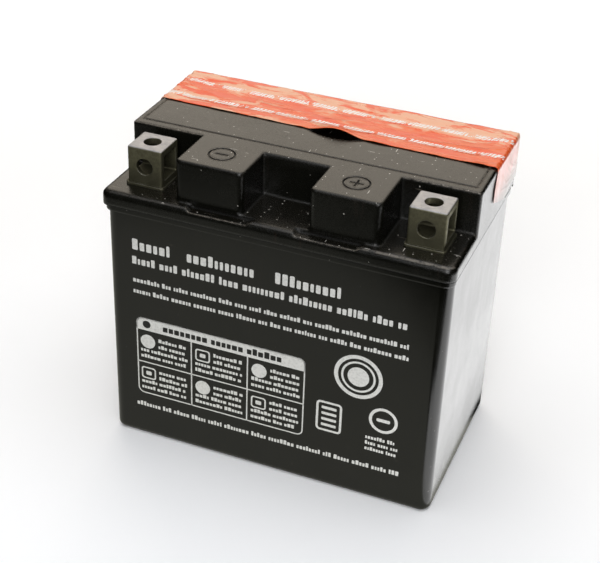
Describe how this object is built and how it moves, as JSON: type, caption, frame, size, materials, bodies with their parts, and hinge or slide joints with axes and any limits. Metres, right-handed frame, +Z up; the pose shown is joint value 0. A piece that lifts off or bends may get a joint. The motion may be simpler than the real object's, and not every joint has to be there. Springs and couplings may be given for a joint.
{
  "type": "motorcycle battery",
  "caption": "Small sealed lead-acid motorcycle battery: black case and stepped lid, two drilled lead block terminals, and a film over its filler ports.",
  "frame": {"origin": "centre of the base", "axes": "+X along the front from the negative terminal to the positive one, +Y from the terminals to the filler ports, +Z up"},
  "size_m": [0.1138, 0.07, 0.1054],
  "materials": {
    "case_plastic": null,
    "lid_plastic": "moulded black polypropylene, satin, dusty and lightly scratched",
    "terminal_lead": "dull grey cast lead alloy",
    "cast_lead": "dull grey burned lead",
    "positive_plate": "dark brown lead dioxide paste on a lead grid",
    "negative_plate": "grey sponge lead paste on a lead grid",
    "glass_mat": "white absorbent glass mat",
    "valve_rubber": "soft black rubber",
    "porous_ceramic": "off-white porous ceramic, unglazed",
    "tape_film": null
  },
  "bodies": {
    "battery": {"case": "case_plastic", "lid": "lid_plastic", "valve_cover": "lid_plastic", "flame_arrestor_left": "porous_ceramic", "flame_arrestor_right": "porous_ceramic", "terminal_negative": "terminal_lead", "post_seal_negative": "valve_rubber", "terminal_positive": "terminal_lead", "post_seal_positive": "valve_rubber", "positive_plates_1": "positive_plate", "negative_plates_1": "negative_plate", "separators_1": "glass_mat", "positive_strap_1": "cast_lead", "negative_strap_1": "cast_lead", "positive_plates_2": "positive_plate", "negative_plates_2": "negative_plate", "separators_2": "glass_mat", "positive_strap_2": "cast_lead", "negative_strap_2": "cast_lead", "positive_plates_3": "positive_plate", "negative_plates_3": "negative_plate", "separators_3": "glass_mat", "positive_strap_3": "cast_lead", "negative_strap_3": "cast_lead", "positive_plates_4": "positive_plate", "negative_plates_4": "negative_plate", "separators_4": "glass_mat", "positive_strap_4": "cast_lead", "negative_strap_4": "cast_lead", "positive_plates_5": "positive_plate", "negative_plates_5": "negative_plate", "separators_5": "glass_mat", "positive_strap_5": "cast_lead", "negative_strap_5": "cast_lead", "positive_plates_6": "positive_plate", "negative_plates_6": "negative_plate", "separators_6": "glass_mat", "positive_strap_6": "cast_lead", "negative_strap_6": "cast_lead", "cell_weld_1": "cast_lead", "cell_weld_2": "cast_lead", "cell_weld_3": "cast_lead", "cell_weld_4": "cast_lead", "cell_weld_5": "cast_lead"},
    "valve_cap_1": {"valve_cap_1": "valve_rubber"},
    "valve_cap_2": {"valve_cap_2": "valve_rubber"},
    "valve_cap_3": {"valve_cap_3": "valve_rubber"},
    "valve_cap_4": {"valve_cap_4": "valve_rubber"},
    "valve_cap_5": {"valve_cap_5": "valve_rubber"},
    "valve_cap_6": {"valve_cap_6": "valve_rubber"},
    "seal_tape": {"seal_tape": "tape_film"}
  },
  "joints": [
    {"name": "seal_tape_lift", "type": "slide", "parent": "battery", "child": "seal_tape", "axis": [0, 0, 1], "range_m": [0, 0.03]},
    {"name": "valve_cap_1_lift", "type": "slide", "parent": "battery", "child": "valve_cap_1", "axis": [0, 0, 1], "range_m": [0, 0.0005], "stiffness_N_per_m": 850},
    {"name": "valve_cap_2_lift", "type": "slide", "parent": "battery", "child": "valve_cap_2", "axis": [0, 0, 1], "range_m": [0, 0.0005], "stiffness_N_per_m": 850},
    {"name": "valve_cap_3_lift", "type": "slide", "parent": "battery", "child": "valve_cap_3", "axis": [0, 0, 1], "range_m": [0, 0.0005], "stiffness_N_per_m": 850},
    {"name": "valve_cap_4_lift", "type": "slide", "parent": "battery", "child": "valve_cap_4", "axis": [0, 0, 1], "range_m": [0, 0.0005], "stiffness_N_per_m": 850},
    {"name": "valve_cap_5_lift", "type": "slide", "parent": "battery", "child": "valve_cap_5", "axis": [0, 0, 1], "range_m": [0, 0.0005], "stiffness_N_per_m": 850},
    {"name": "valve_cap_6_lift", "type": "slide", "parent": "battery", "child": "valve_cap_6", "axis": [0, 0, 1], "range_m": [0, 0.0005], "stiffness_N_per_m": 850}
  ]
}
